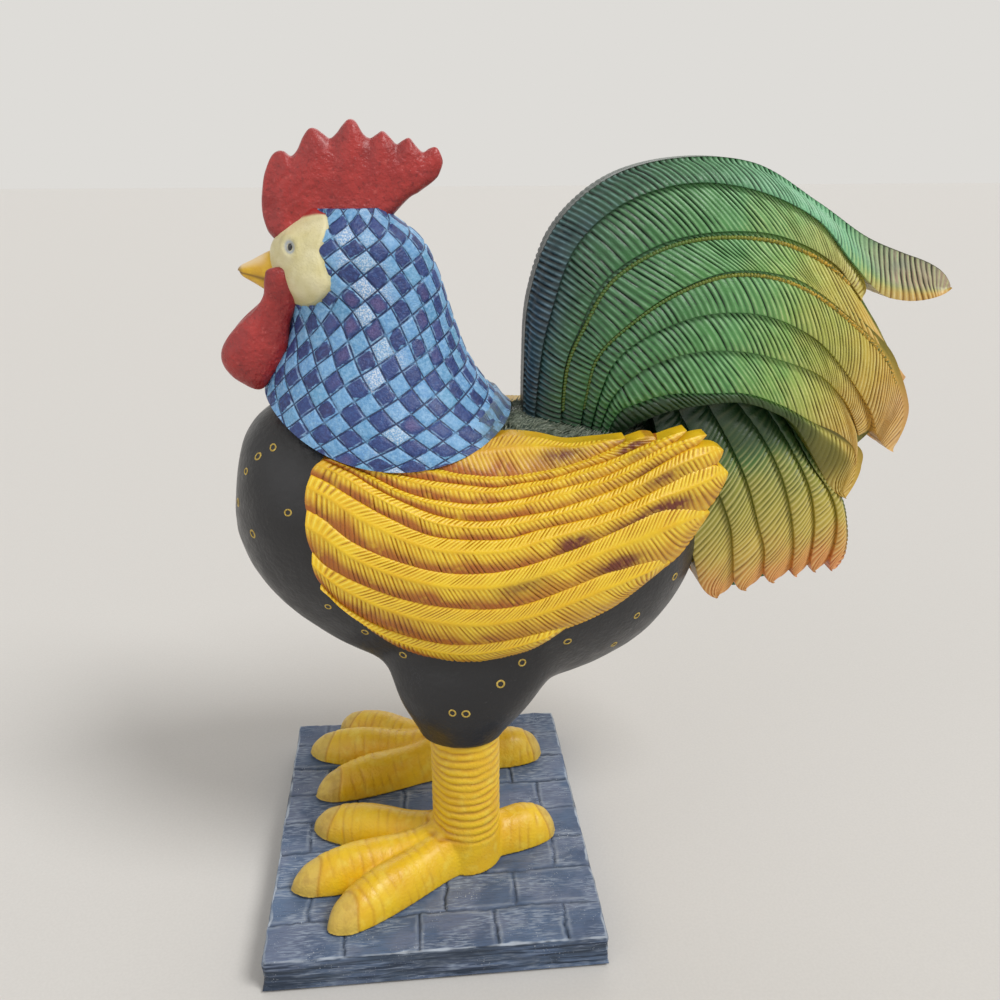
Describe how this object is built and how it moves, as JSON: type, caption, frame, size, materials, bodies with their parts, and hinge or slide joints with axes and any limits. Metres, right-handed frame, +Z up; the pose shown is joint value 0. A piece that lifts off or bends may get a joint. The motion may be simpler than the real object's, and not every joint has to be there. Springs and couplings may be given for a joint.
{
  "type": "rooster figurine",
  "caption": "Painted cast rooster standing on a brick-patterned slab, with a checked neck cape, layered wings and a tall arched tail.",
  "frame": {"origin": "middle of the underside of the base", "axes": "+Z up, the bird faces -X, its left side is towards -Y"},
  "size_m": [0.3612, 0.2, 0.4052],
  "materials": {
    "slate_paint": "slate-blue paint on cast resin, dry-brushed pale on its edges",
    "felt": "dark felt pad",
    "leg_paint": "yellow paint on cast resin",
    "steel": "plain drawn rod",
    "body_paint": "satin charcoal paint on cast resin, with small gold rings",
    "wing_paint": "bright yellow paint with an ochre wash in the grooves",
    "cape_paint": "checks in light blue and navy paint",
    "face_paint": "cream paint",
    "beak_paint": "ochre-yellow paint",
    "comb_paint": "red satin paint",
    "tail_paint": "green paint running to gold and tan at the tips",
    "covert_paint": "olive-yellow paint running to orange at the tips"
  },
  "bodies": {
    "root": {"base_block": "slate_paint", "base_felt": "felt", "left_leg": "leg_paint", "right_leg": "leg_paint", "left_leg_rod": "steel", "right_leg_rod": "steel", "body_shell": "body_paint", "left_wing": "wing_paint", "right_wing": "wing_paint", "neck_cape": "cape_paint", "face": "face_paint", "beak": "beak_paint", "comb": "comb_paint", "left_wattle": "comb_paint", "right_wattle": "comb_paint", "tail_core": "tail_paint", "left_tail_fan": "tail_paint", "right_tail_fan": "tail_paint", "left_tail_coverts": "covert_paint", "right_tail_coverts": "covert_paint"}
  },
  "joints": []
}
